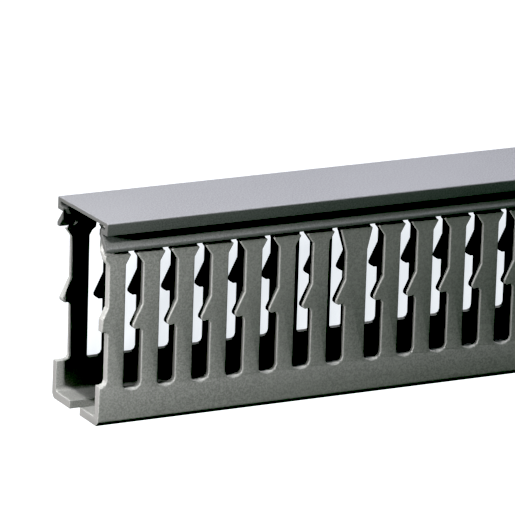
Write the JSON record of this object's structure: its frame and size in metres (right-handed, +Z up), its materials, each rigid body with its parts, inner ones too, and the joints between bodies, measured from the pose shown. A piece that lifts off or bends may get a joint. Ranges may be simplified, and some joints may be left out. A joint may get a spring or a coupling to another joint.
{
  "type": "slotted wire duct",
  "caption": "Straight plastic wiring duct of U section with barbed fingers and open slots along both walls, and a clip-on cover whose folded edges grip the finger heads.",
  "frame": {"origin": "underside of the base, at the middle of the duct's length and width", "axes": "+X along the duct, +Y from the front wall to the back wall, +Z up from the base to the cover"},
  "size_m": [0.5, 0.0262, 0.05],
  "materials": {
    "duct_pvc": "matt grey extruded PVC with punched edges",
    "cover_pvc": "matt grey extruded PVC"
  },
  "bodies": {
    "duct": {"duct_body": "duct_pvc"},
    "cover": {"cover": "cover_pvc"}
  },
  "joints": [
    {"name": "cover_slide", "type": "slide", "parent": "duct", "child": "cover", "axis": [1, 0, 0], "range_m": [-0.45, 0.45]}
  ]
}
